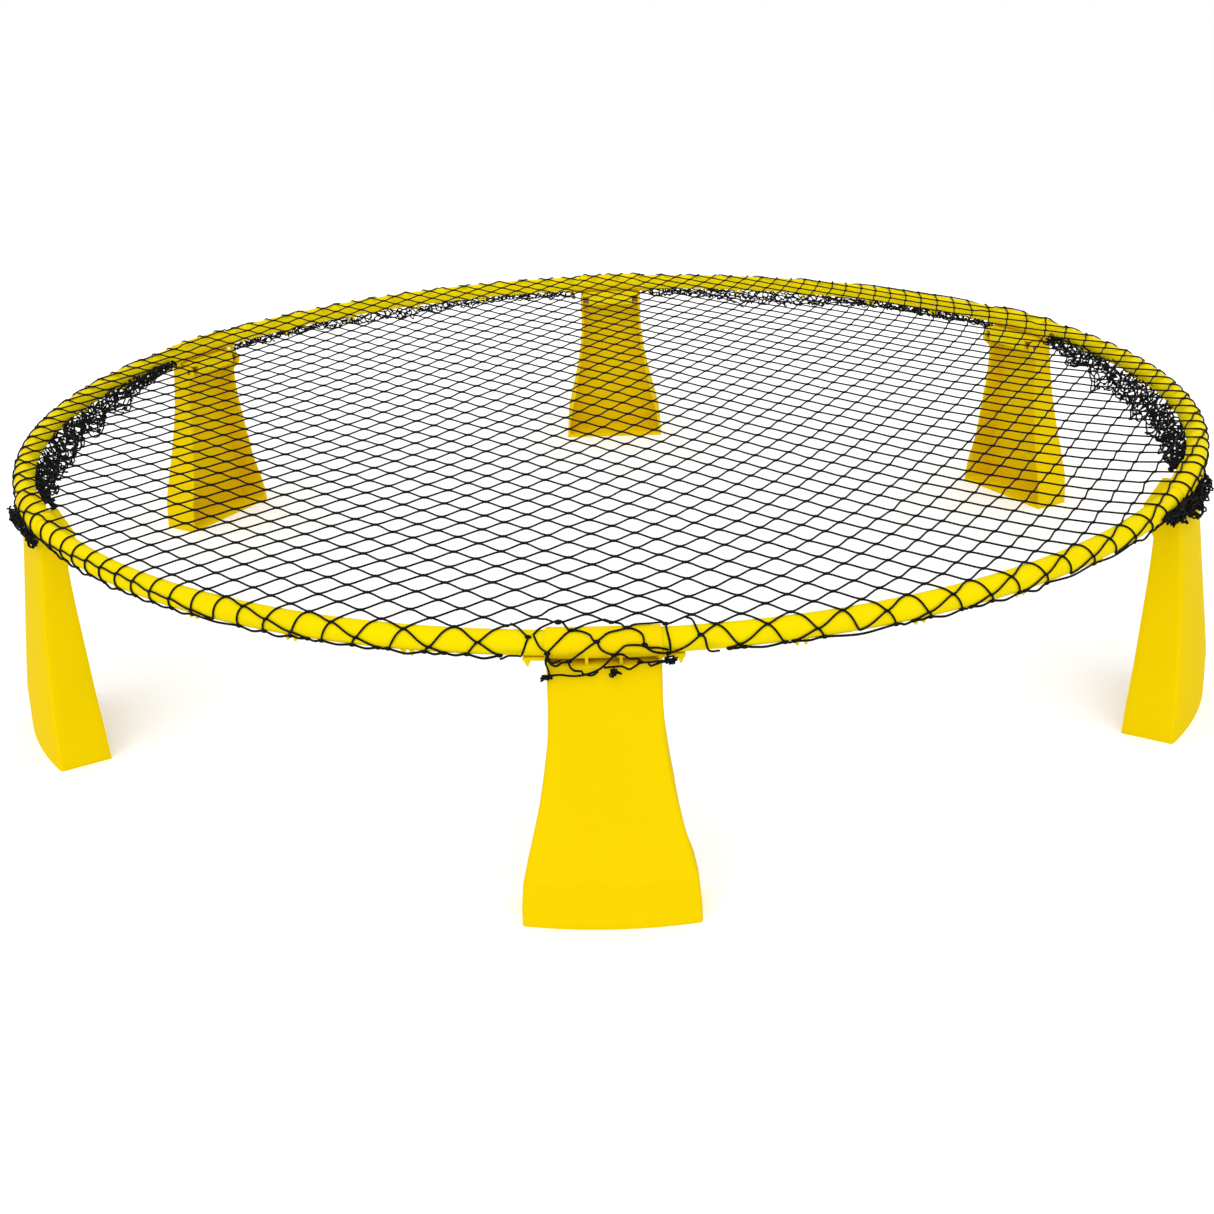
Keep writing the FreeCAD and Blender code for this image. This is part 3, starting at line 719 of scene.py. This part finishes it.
# Where the net's knots lie flat, in mm: polynomials of order 5 in the two knot counts, since the
# mesh is stretched unevenly over the ring
WARP_ORDER = 5
WARP_MIDDLE = (18, 15)
WARP_SCALE = 24.0
WARP_X = (
    -7.0, -346.5, -17.3, -2.1, 6.8, -2.2, 230.2, 6.2, -25.1, -25.4, 13.7, -34.4, 17.2, 6.4, -31.2, 65.9,
    4.0, 18.4, -10.9, 18.0, -48.1,
)
WARP_Y = (
    14.4, 319.3, 7.1, 9.3, 25.1, -23.0, 395.9, 8.2, 26.8, 34.2, 55.4, 19.1, -38.2, 42.1, 61.7, -68.7, 7.7,
    -0.1, 25.2, 24.7, 52.2,
)


def knot_at(m, n):
    """The flat place of knot (m, n), with a little unevenness of its own."""
    u = (m - WARP_MIDDLE[0]) / WARP_SCALE
    w = (n - WARP_MIDDLE[1]) / WARP_SCALE
    terms = [u ** i * w ** j for i in range(WARP_ORDER + 1) for j in range(WARP_ORDER + 1 - i)]
    stray = noise.noise_vector(Vector((m * 3.17, n * 2.71, 0.5))) * STRAY
    x = sum(a * t for a, t in zip(WARP_X, terms)) + stray.x
    y = sum(a * t for a, t in zip(WARP_Y, terms)) + stray.y
    return np.array([x, y]) * MM


def in_front_leg(place):
    """Whether a flat place is where the net hangs loose over the front leg."""
    return LOOSE[0] < place[0] < LOOSE[1] and place[1] < 0 and math.hypot(*place) > LOOSE_FROM


def net_knots():
    """The flat places of all knots inside the hem, by their counts."""
    knots = {}
    queue = [WARP_MIDDLE]
    while queue:
        m, n = queue.pop()
        if (m, n) in knots:
            continue
        flat = knot_at(m, n)
        if math.hypot(*flat) > hem_radius(np.arctan2(flat[0], -flat[1])) - HEM_MARGIN:
            continue
        knots[m, n] = flat
        queue += [(m + 1, n), (m - 1, n), (m, n + 1), (m, n - 1)]
    return knots


def net():
    bundle = CordBundle()
    knots = net_knots()
    starts, ends = [], []
    for (m, n), here in knots.items():
        for other in ((m + 1, n), (m, n + 1), (m - 1, n), (m, n - 1)):
            if other not in knots:
                starts.append(here)
                ends.append(knot_at(*other))
            elif other > (m, n):
                starts.append(here)
                ends.append(knots[other])
    kept = [not in_front_leg(a) and not in_front_leg(b) for a, b in zip(starts, ends)]
    starts, ends = np.array(starts)[kept], np.array(ends)[kept]
    swap = np.hypot(*starts.T) > np.hypot(*ends.T)
    starts[swap], ends[swap] = ends[swap], starts[swap].copy()

    def along(t):
        """Where the cords are at shares t of their way: they leave their knots sideways."""
        rise = 0.5 * t + 0.5 * ease(t)
        px = starts[:, 0:1] + (ends - starts)[:, 0:1] * t
        py = starts[:, 1:2] + (ends - starts)[:, 1:2] * rise
        return np.stack([px, py], -1)

    def hem_gap(t):
        at = along(t)
        return np.hypot(at[..., 0], at[..., 1]) - hem_radius(np.arctan2(at[..., 0], -at[..., 1]))
    inside = hem_gap(np.zeros((len(starts), 1)))[:, 0] < 0
    starts, ends = starts[inside], ends[inside]
    crosses = hem_gap(np.ones((len(starts), 1)))[:, 0] > 0
    low, high = np.zeros((len(starts), 1)), np.ones((len(starts), 1))
    for _ in range(HALVINGS):
        middle = (low + high) / 2
        past = hem_gap(middle) > 0
        high = np.where(past, middle, high)
        low = np.where(past, low, middle)
    stop = np.where(crosses[:, None], low, 1.0)
    outer = np.maximum(np.hypot(*starts.T), np.hypot(*ends.T)) > BEND_FROM
    for group, points in ((~outer, FLAT_POINTS), (outer, BENT_POINTS)):
        shares = np.linspace(0, 1, points)[None, :] * stop
        flat = along(shares)[group]
        where, normal = drape(flat)
        bundle.cords(where, normal)
    hem_ends = drape(along(stop)[crosses][:, 0])[0]
    knot_flat = np.array([flat for flat in knots.values() if not in_front_leg(flat)])
    where, normal = drape(knot_flat)
    beside = drape(knot_flat + np.array([1 * MM, 0]))[0] - where
    beside /= np.linalg.norm(beside, axis=1, keepdims=True)
    bundle.knots(where, *NET_KNOT, beside, normal)
    lace(bundle, hem_ends)
    loose_cords(bundle)
    place(bundle.mesh("net_mesh"), "net", TWINE, "net_cord", "rim",
          ["net_bed"] + [f"net_edge_{k + 1}" for k in range(STATIONS)], CORD_SMOOTH_UNDER)


# The slack part of the net that hangs over the top of the front leg: cords, knots, and tangles of
# some strands with their size, in mm
LOOSE_CORDS = (
    ((-50.9, -440.5, 177.6), (-46.3, -446.3, 177.6), (-42.6, -451.9, 176.4), (-40.7, -453.5, 175.4)),
    ((-38, -452.7, 176.2), (-34, -447.6, 177.9), (-25.9, -438.4, 177.6)),
    ((-37.6, -453.1, 175.9), (-35.4, -456.2, 171.9), (-33.2, -457.8, 169.6), (-30.2, -458.2, 167.2),
     (-30.3, -459.5, 164), (-28.9, -459.5, 162.3), (-25.8, -459.8, 162.7), (-23.5, -459.9, 163.6)),
    ((-25.9, -438.4, 177.6), (-23.2, -438.6, 177.6), (-18.5, -452.6, 178.5), (-17, -452.8, 178.4)),
    ((-17, -452.8, 178.4), (-20, -454.7, 177.4), (-23.8, -457.4, 174.6), (-29.8, -458.5, 168.6),
     (-31, -458, 166.7)),
    ((-17, -452.8, 178.4), (-11.7, -453.9, 178.1), (-7.1, -456, 176.8), (-5.6, -457.8, 174.7),
     (-3.4, -458.4, 173.8)),
    ((-17, -452.8, 178.4), (-13.2, -450.3, 178.9), (-7.3, -442.3, 177.6), (0.8, -438.2, 177.6)),
    ((0.8, -438.2, 177.6), (4.2, -441.2, 177.6), (9.6, -444.3, 177.6), (11.5, -451.1, 178.9),
     (13.4, -452, 178.7)),
    ((-3.4, -458.4, 173.8), (-7.2, -459.2, 171.6), (-12.7, -459, 167.1), (-18.9, -460.1, 163.1)),
    ((-3.4, -458.4, 173.8), (-1.1, -457.5, 175.3), (2.8, -455.2, 177.4), (8.9, -453.6, 178.2),
     (13.4, -452, 178.7)),
    ((-3, -458.5, 173.6), (-2, -459.4, 170.7), (0.2, -459.4, 168.2), (3.9, -458.8, 166.1),
     (5.8, -458.8, 165.5)),
    ((13.4, -452, 178.7), (17.2, -453.3, 178.2), (20.9, -455.7, 176.7), (22, -457.7, 174.2),
     (22.3, -458.8, 171.4), (24.5, -458.8, 169.7), (29.8, -458.5, 169.2), (35.2, -456.1, 166.8)),
    ((13.4, -452, 178.7), (17.3, -448.4, 178.9), (24.9, -447.4, 178.8), (31.9, -443.9, 177.6),
     (34.1, -445.9, 177.6)),
    ((34.1, -445.9, 177.6), (34.7, -452.7, 176.5), (36, -456.3, 171.5), (36.3, -455.8, 166.2),
     (35.1, -457.7, 165.5)),
    ((5.8, -458.8, 165.5), (8.6, -459.3, 168.3), (11.7, -459.2, 171.1), (16.2, -459, 171.5),
     (21.5, -458.9, 170.7), (26.7, -458.3, 166.9), (31.3, -457.5, 165.5), (35.1, -457.4, 165.5)),
    ((-19, -460.1, 162.7), (-22.8, -459.9, 162.3), (-25.9, -459.7, 160.2), (-28.5, -459.6, 161.5),
     (-30, -459.5, 164), (-30.6, -458.2, 167.2)),
    ((-19, -460.1, 162.7), (-18.3, -460.1, 159.7), (-16.1, -460.2, 157.6), (-12.3, -460.3, 157.1),
     (-11.6, -460.3, 155.4)),
    ((-31.6, -459.4, 153.4), (-28.9, -459.6, 154.5), (-23.9, -459.9, 155.1), (-18.5, -460.1, 154.4),
     (-14, -460.2, 154.4), (-9.3, -460.4, 155.3), (-3.9, -460.5, 157.4), (-0, -460.5, 160.2),
     (4.7, -460.4, 165.2), (5.8, -458.8, 165.5)),
    ((5.8, -458.8, 165.5), (10, -458.6, 165.8), (14.5, -460.3, 163.9), (18.7, -460.1, 163.7),
     (19.8, -460, 161.6), (16.7, -460.2, 159.2), (13.6, -460.3, 157.6), (9.8, -460.4, 159.5),
     (4.5, -460.5, 159.4), (-0.1, -460.5, 159)),
    ((19.8, -460, 161.6), (24.3, -459.8, 161.3), (29.7, -459.5, 161.6), (36.1, -459, 161.9)),
    ((24.3, -459.8, 161.1), (25.4, -459.8, 159.1), (31.2, -459.4, 160.9), (36.1, -459.1, 161)),
    ((-30.6, -458.2, 167.2), (-31.6, -459.4, 162.3), (-30.6, -459.4, 158.9), (-30, -459.5, 155.5),
     (-31.6, -459.4, 153.4)),
    ((-11.6, -460.3, 155.4), (-6.7, -460.4, 154.5), (-3.2, -460.5, 156.9)),
    ((35.1, -457.7, 165.5), (34.6, -459.2, 163.7), (36.1, -459.1, 161.5)),
    ((52.8, -453.4, 174), (50.5, -454.6, 172.4), (45.8, -455.6, 168.8), (40.5, -455.2, 165.8),
     (35.1, -457.4, 165.5)),
    ((45.5, -437.9, 177.6), (48.8, -441.3, 177.6), (50.7, -450.4, 176.7), (52.1, -453.3, 174.3)),
    ((53.6, -453.4, 174), (58.3, -450.2, 176.4), (63.8, -445.1, 177.4)),
    ((-40.3, -453.5, 175.4), (-41.5, -454.9, 173.5), (-44.6, -455.6, 165.5), (-46.4, -456.3, 165.5),
     (-51.8, -456, 165.5), (-54.8, -457.2, 164.7), (-56.4, -457, 164.2)),
    ((53.2, -453.5, 173.9), (55.1, -454, 172.4), (57.2, -455.6, 165.5), (63.1, -456.1, 165.4)),
)
LOOSE_KNOTS = (
    (-40.7, -453.5, 175.4), (-17, -452.8, 178.4), (-3.4, -458.4, 173.8), (13.4, -452, 178.7),
    (-18.9, -460.1, 163.1), (5.8, -458.8, 165.5), (22.3, -458.8, 171.4), (19.8, -460, 161.6),
    (-31.6, -459.4, 153.4), (52.8, -453.4, 174), (34.1, -445.9, 177.6), (35.1, -457.7, 165.5),
    (-30.6, -458.2, 167.2), (-30.3, -459.5, 164),
)
LOOSE_TANGLES = (((-31.6, -459.6, 153.4), 2.6), ((36.4, -459.4, 161.9), 3.4), ((5.2, -461.3, 156.6), 3.6))
TANGLE_STRANDS = 7
TANGLE_POINTS = 5
TANGLE_SPREAD = (1, 0.45, 0.7)
LOOSE_KNOT = (3.8 * MM, 2.3 * MM)


def loose_cords(bundle):
    for points in LOOSE_CORDS:
        bundle.cord([Vector(p) * MM for p in points], CORD_R * 0.98, 6, 1.0 * MM)
    places = np.array(LOOSE_KNOTS) * MM
    level = np.tile(np.array([1.0, 0, 0]), (len(places), 1))
    ahead = np.tile(np.array([0, -1.0, 0]), (len(places), 1))
    bundle.knots(places, *LOOSE_KNOT, level, ahead)
    draw = random.Random(5)
    for middle, size in LOOSE_TANGLES:
        for _ in range(TANGLE_STRANDS):
            points = []
            for _ in range(TANGLE_POINTS):
                spread = Vector([draw.gauss(0, wide) for wide in TANGLE_SPREAD]) * size / 2
                points.append((Vector(middle) + spread) * MM)
            bundle.cord(points, CORD_R * 0.85, 5, 0.8 * MM)


# The hem's cord leaves out the front leg, ends of the mesh that lie too near each other, and slack
# where they lie too far apart
LACE_GAP = (-36 * MM, 37 * MM)
LACE_NEAR = 4 * MM
LACE_FAR = 60 * MM
SLACK_SHARE = 0.12
SLACK_MOST = 2.2 * MM
HEM_KNOT = (4.2 * MM, 2.4 * MM)


def lace(bundle, hem_ends):
    """The hem's cord, run through the ends of the mesh, a little slack between them."""
    draw = random.Random(3)
    angles = np.arctan2(hem_ends[:, 0], -hem_ends[:, 1])
    order = np.argsort(angles)
    kept = []
    for n in order:
        if LACE_GAP[0] < angles[n] * RING_R < LACE_GAP[1]:
            continue
        if kept and abs(angles[n] - angles[kept[-1]]) * RING_R < LACE_NEAR:
            continue
        kept.append(n)
    line = []
    for a, b in zip(kept, kept[1:] + kept[:1]):
        here, there = Vector(hem_ends[a]), Vector(hem_ends[b])
        line.append(here)
        if (there - here).length < LACE_FAR:
            slack = min((there - here).length * SLACK_SHARE, SLACK_MOST)
            droop = Vector((0, 0, -slack * draw.uniform(0.3, 1.0)))
            push = Vector((here.x, here.y, 0)).normalized() * slack * draw.uniform(-0.2, 0.5)
            line.append((here + there) / 2 + droop + push)
    start = next(n for n, p in enumerate(line) if p.x > 0 and math.atan2(p.x, -p.y) > 0)
    line = line[start:] + line[:start]
    bundle.cord(line, CORD_R * 1.15)
    places = hem_ends[kept]
    out = places * np.array([1, 1, 0])
    out /= np.linalg.norm(out, axis=1, keepdims=True)
    sideways = np.stack([-out[:, 1], out[:, 0], np.zeros(len(out))], 1)
    bundle.knots(places, *HEM_KNOT, sideways, out)


# Gathered net: crumpled patches of the same mesh

ROW_HEIGHT = 7.5  # of a patch's cells, in mm
ROW_POWER = 0.85
ROW_STRAY = 0.28  # of a knot, in rows
OUT_STRAY = (0.30, 0.10)  # smooth and loose parts, as shares of the drop up to OUT_REACH
OUT_REACH = 12 * MM
SLIDE_STRAY = (4.5, 1.3)  # smooth and loose parts along the ring, in mm
LIFT_STRAY = 1.2 * MM
BULGE = 1.3  # of a strand to one side, in mm
TWIST = 0.8  # of a strand to both sides, in mm
STRAND_POINTS = 6
STRAND_UP = (0.37, 0.51, 0.77)
PATCH_KNOT = (3.6 * MM, 2.5 * MM)
SIDE_TOP = (440.5 * MM, 168.5 * MM)
BACK_TOP = (453 * MM, 161.5 * MM)
RIGHT_GATHER_TOP = (459.6 * MM, 170 * MM)
LEFT_GATHER_TOP = (461 * MM, 166 * MM)
RIGHT_HANG = (6, 13, 18, 21, 24, 25, 25, 24, 22, 18, 13, 7)
LEFT_HANG = (4, 9, 14, 18, 20, 21, 22, 21, 19, 16, 12, 6)
BACK_RIGHT_HANG = (5, 6, 8, 7, 6, 7, 12, 15, 15, 11, 7, 6)
BACK_LEFT_HANG = (7, 6, 5, 6, 8, 11, 10, 10, 6, 6, 7, 8)
RIGHT_GATHER_HANG = (4, 8, 13, 17, 20, 21, 24, 16)
LEFT_GATHER_HANG = (10, 8, 5, 3, 3, 5, 9)

# Each patch: its name, which is its CAD node's without the first word, the seed of its draws, where it
# starts and ends in degrees round the ring, how far it hangs at even steps between them in mm, its
# thickness as a share of that, its top as (radius, height), its layers, how far it leans inwards for
# its drop, and the width of its cells
PATCHES = (
    ("bunch_right", 12, 65, 114, RIGHT_HANG, 0.5, SIDE_TOP, 2, 0.42, 6.4 * MM),
    ("bunch_left", 15, 246, 296, LEFT_HANG, 0.5, SIDE_TOP, 2, 0.42, 6.4 * MM),
    ("bunch_back_right", 33, 125, 175, BACK_RIGHT_HANG, 0.3, BACK_TOP, 1, 0.15, 4 * MM),
    ("bunch_back_left", 34, 185, 235, BACK_LEFT_HANG, 0.3, BACK_TOP, 1, 0.15, 4 * MM),
    ("gather_right", 52, 51.2, 62.8, RIGHT_GATHER_HANG, 0.25, RIGHT_GATHER_TOP, 3, -0.06, 4.8 * MM),
    ("gather_left", 56, 294.6, 304.4, LEFT_GATHER_HANG, 0.3, LEFT_GATHER_TOP, 2, -0.1, 4 * MM),
)


def patch_knots(rng, seed, layer, depth_share, start, end, hang, top, lean, cell):
    """The knots of one layer of a patch, by column and row."""
    radius, height = top
    columns = int(abs(end - start) * radius / cell)
    rows = 2 + round(max(hang) / ROW_HEIGHT)
    knots = np.zeros((columns, rows, 3))
    for c in range(columns):
        share = c / (columns - 1)
        angle = start + (end - start) * share
        reach = float(np.interp(share, np.linspace(0, 1, len(hang)), hang)) * MM
        depth = reach * depth_share
        ragged = 0.75 + 0.5 * noise.noise(Vector((c * 0.23, layer * 3.1, seed)))
        for r in range(rows):
            down = reach * ragged * ((r + abs(rng.normal(0, ROW_STRAY))) / (rows - 1)) ** ROW_POWER
            stray = noise.noise_vector(Vector((c * 0.33, r * 0.9, seed + layer * 5.3)))
            loose_out = stray.x * OUT_STRAY[0] + rng.normal(0, OUT_STRAY[1])
            out = depth + loose_out * min(reach, OUT_REACH)
            slide = (stray.y * SLIDE_STRAY[0] + rng.normal(0, SLIDE_STRAY[1])) * MM
            knots[c, r] = on_ring(angle + slide / radius, radius - down * lean + out,
                                  height - down + stray.z * LIFT_STRAY)
    return knots


def patch_strands(knots):
    """The two ends of each strand between the knots, and along the patch's upper and lower edges."""
    columns, rows = knots.shape[:2]
    starts, ends = [], []
    for c in range(columns - 1):
        for r in range(rows):
            step = 1 if (c + r) % 2 else -1
            if 0 <= r + step < rows:
                starts.append(knots[c, r])
                ends.append(knots[c + 1, r + step])
            elif c + 2 < columns:
                starts.append(knots[c, r])
                ends.append(knots[c + 2, r])
    return np.array(starts), np.array(ends)


def crumple(name, seed, start, end, hang, thick, top, layers, lean, cell):
    """One patch: mesh pushed together along the ring, in layers of small cells."""
    rng = np.random.default_rng(seed)
    bundle = CordBundle()
    for layer in range(layers):
        depth_share = thick * (layer / max(layers - 1, 1) - 0.5)
        knots = patch_knots(rng, seed, layer, depth_share, math.radians(start), math.radians(end), hang,
                            top, lean, cell)
        starts, ends = patch_strands(knots)
        shares = np.linspace(0, 1, STRAND_POINTS)[None, :, None]
        bulge = rng.normal(0, BULGE, (len(starts), 1, 3)) * MM
        twist = rng.normal(0, TWIST, (len(starts), 1, 3)) * MM
        paths = starts[:, None] * (1 - shares) + ends[:, None] * shares
        paths = paths + bulge * np.sin(math.pi * shares) + twist * np.sin(math.tau * shares)
        normals = np.tile(np.array(STRAND_UP), (len(starts), STRAND_POINTS, 1))
        bundle.cords(paths, normals, CORD_R * 1.05, 5)
        spots = knots[::2, 1::2].reshape(-1, 3)
        lie = rng.normal(0, 1, spots.shape)
        lie /= np.linalg.norm(lie, axis=1, keepdims=True)
        bundle.knots(spots, *PATCH_KNOT, lie, np.roll(lie, 1, axis=1))
    place(bundle.mesh(name), name, TWINE, "net_cord", "rim", [f"net_{name}"], CORD_SMOOTH_UNDER)


# Light, floor and camera

SKY_LIGHT = 0.83
SKY_SEEN = 1.0
SUN_POWER = 1.15
SUN_SPREAD = math.radians(70)
SUN_TURN = (math.radians(38), math.radians(-6), 0)
FLOOR_HALF = 3.0
FLOOR_ALBEDO = 0.96
FLOOR_ROUGHNESS = 0.9
FLOOR_GLOW = 0.18  # only as the camera sees it
CAMERA_AT = (17.724 * MM, -1206.915 * MM, 530.631 * MM)
CAMERA_PAN = -0.0200
CAMERA_TILT = 0.4224
CAMERA_ROLL = -0.0349
CAMERA_LENS = 45.59
CAMERA_SENSOR = 36
CAMERA_CLIP = (0.05, 60)


def sky():
    """A white sky that looks brighter than it lights."""
    world = bpy.data.worlds.new("studio")
    bpy.context.scene.world = world
    world.use_nodes = True
    tree = world.node_tree
    background = tree.nodes["Background"]
    rays = tree.nodes.new("ShaderNodeLightPath")
    either = tree.nodes.new("ShaderNodeMath")
    either.operation = "MAXIMUM"
    tree.links.new(rays.outputs["Is Camera Ray"], either.inputs[0])
    tree.links.new(rays.outputs["Is Glossy Ray"], either.inputs[1])
    level = tree.nodes.new("ShaderNodeMapRange")
    level.inputs["To Min"].default_value = SKY_LIGHT
    level.inputs["To Max"].default_value = SKY_SEEN
    tree.links.new(either.outputs[0], level.inputs["Value"])
    tree.links.new(level.outputs["Result"], background.inputs["Strength"])
    background.inputs["Color"].default_value = (1, 1, 1, 1)


def lamp():
    sun = bpy.data.lights.new("overhead", "SUN")
    sun.energy = SUN_POWER
    sun.angle = SUN_SPREAD
    linked("overhead", sun).rotation_euler = SUN_TURN


def floor():
    half = FLOOR_HALF
    corners = [(-half, -half, 0), (half, -half, 0), (half, half, 0), (-half, half, 0)]
    mesh = bpy.data.meshes.new("floor")
    mesh.from_pydata(corners, [], [(0, 1, 2, 3)])
    material, tree, shader = node_material("pale_floor")
    shader.inputs["Base Color"].default_value = (FLOOR_ALBEDO, FLOOR_ALBEDO, FLOOR_ALBEDO, 1)
    shader.inputs["Roughness"].default_value = FLOOR_ROUGHNESS
    shader.inputs["Emission Color"].default_value = (1, 1, 1, 1)
    rays = tree.nodes.new("ShaderNodeLightPath")
    glow = tree.nodes.new("ShaderNodeMapRange")
    glow.inputs["To Max"].default_value = FLOOR_GLOW
    tree.links.new(rays.outputs["Is Camera Ray"], glow.inputs["Value"])
    tree.links.new(glow.outputs["Result"], shader.inputs["Emission Strength"])
    mesh.materials.append(material)
    linked("floor", mesh)


def camera():
    data = bpy.data.cameras.new("camera")
    data.lens = CAMERA_LENS
    data.sensor_width = CAMERA_SENSOR
    data.clip_start, data.clip_end = CAMERA_CLIP
    piece = linked("camera", data)
    forward = Vector((math.sin(CAMERA_PAN), math.cos(CAMERA_PAN), 0))
    ahead = math.cos(CAMERA_TILT) * forward - Vector((0, 0, math.sin(CAMERA_TILT)))
    level = Vector((math.cos(CAMERA_PAN), -math.sin(CAMERA_PAN), 0))
    upright = level.cross(ahead)
    right = math.cos(CAMERA_ROLL) * level + math.sin(CAMERA_ROLL) * upright
    above = -math.sin(CAMERA_ROLL) * level + math.cos(CAMERA_ROLL) * upright
    rows = Matrix((right, above, -ahead)).transposed()
    piece.matrix_world = Matrix.Translation(CAMERA_AT) @ rows.to_4x4()
    bpy.context.scene.camera = piece


camera()
sky()
lamp()
floor()
rim_tubes()
leg_sockets()
legs()
net()
for patch in PATCHES:
    crumple(*patch)
for k in range(STATIONS):
    pin = frame["nodes"][f"hinge_pin_{k + 1}"]
    pin.data.materials.clear()
    pin.data.materials.append(PIN_METAL)

bpy.context.scene.view_settings.view_transform = "Standard"
